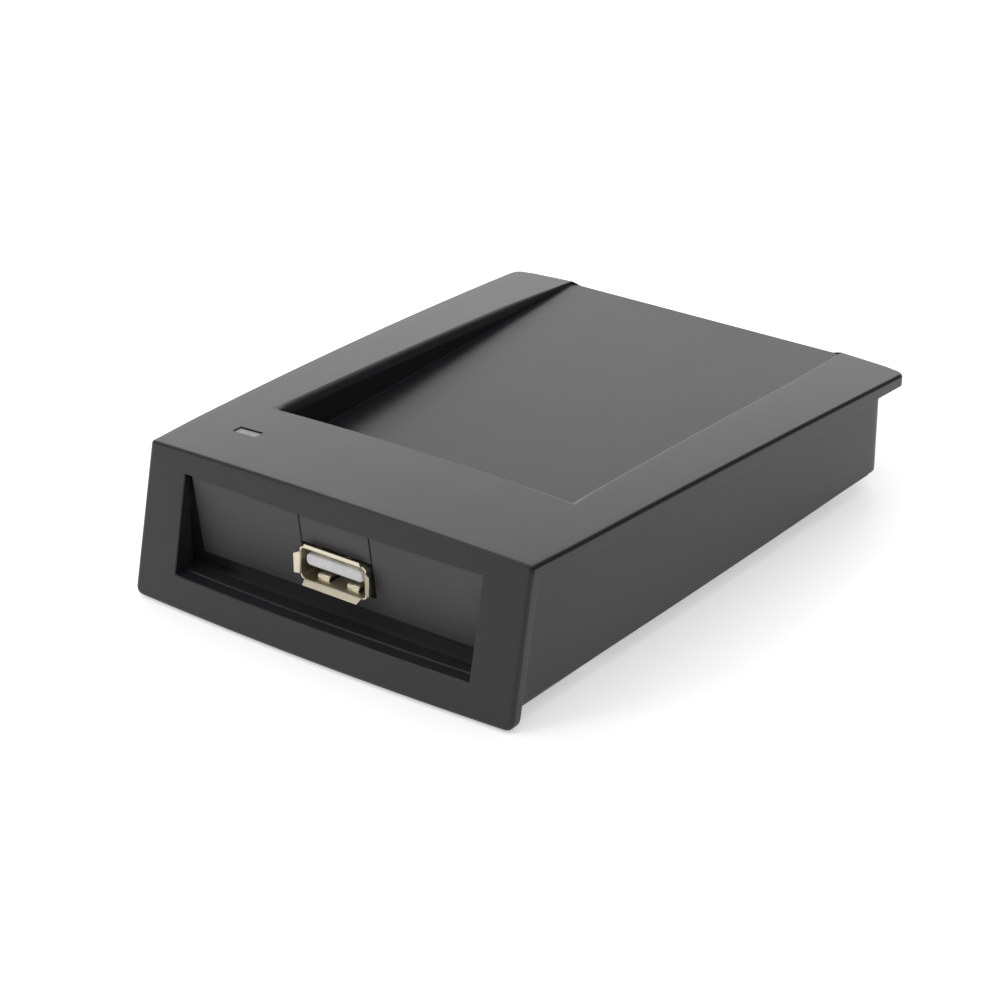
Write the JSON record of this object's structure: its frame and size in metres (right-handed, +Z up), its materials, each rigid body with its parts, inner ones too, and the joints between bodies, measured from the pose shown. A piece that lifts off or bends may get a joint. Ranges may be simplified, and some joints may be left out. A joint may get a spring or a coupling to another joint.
{
  "type": "contactless smart card reader",
  "caption": "Wedge-shaped desktop contactless card reader with a sunk card tray on top and a USB socket framed in its front end.",
  "frame": {"origin": "middle of the case at the level of the table that its feet stand on", "axes": "+Z up; -Y towards the framed socket end; +Y towards the overhanging card end; X across the case"},
  "size_m": [0.0824, 0.1122, 0.0264],
  "materials": {
    "black_case": "fine moulded texture, black",
    "clear_lens": "pale clear acrylic, lightly frosted",
    "clear_lamp": "clear epoxy",
    "tin_plate": "bright tin plating",
    "white_plastic": "white nylon, satin",
    "nickel_plate": "warm nickel plating, satin",
    "gold_plate": "thin gold plating",
    "green_board": "green solder mask over glass fibre",
    "copper_track": "copper under solder mask",
    "black_header": "black nylon",
    "chip_epoxy": "moulded epoxy, unmarked",
    "crystal_can": "drawn can, satin",
    "blue_sleeve": "shrunk sleeve, unmarked",
    "ferrite": "dark ceramic",
    "tan_ceramic": "fired ceramic",
    "zinc_screw": "zinc plated",
    "black_rubber": "matt"
  },
  "bodies": {
    "root": {"top_housing": "black_case", "bottom_cover": "black_case", "light_lens": "clear_lens", "status_led": "clear_lamp", "led_leads": "tin_plate", "led_spacer": "white_plastic", "usb_shell": "nickel_plate", "usb_insulator": "white_plastic", "usb_contacts": "gold_plate", "main_board": "green_board", "antenna_board": "green_board", "antenna_coil": "copper_track", "antenna_header": "black_header", "antenna_pins": "gold_plate", "reader_chip": "chip_epoxy", "controller_chip": "chip_epoxy", "controller_leads": "tin_plate", "crystals": "crystal_can", "buzzer": "black_header", "reservoir_capacitor": "blue_sleeve", "power_inductor": "ferrite", "chip_capacitors": "tan_ceramic", "chip_resistors": "ferrite", "board_screws": "zinc_screw", "cover_screws": "zinc_screw", "rubber_feet": "black_rubber"}
  },
  "joints": []
}
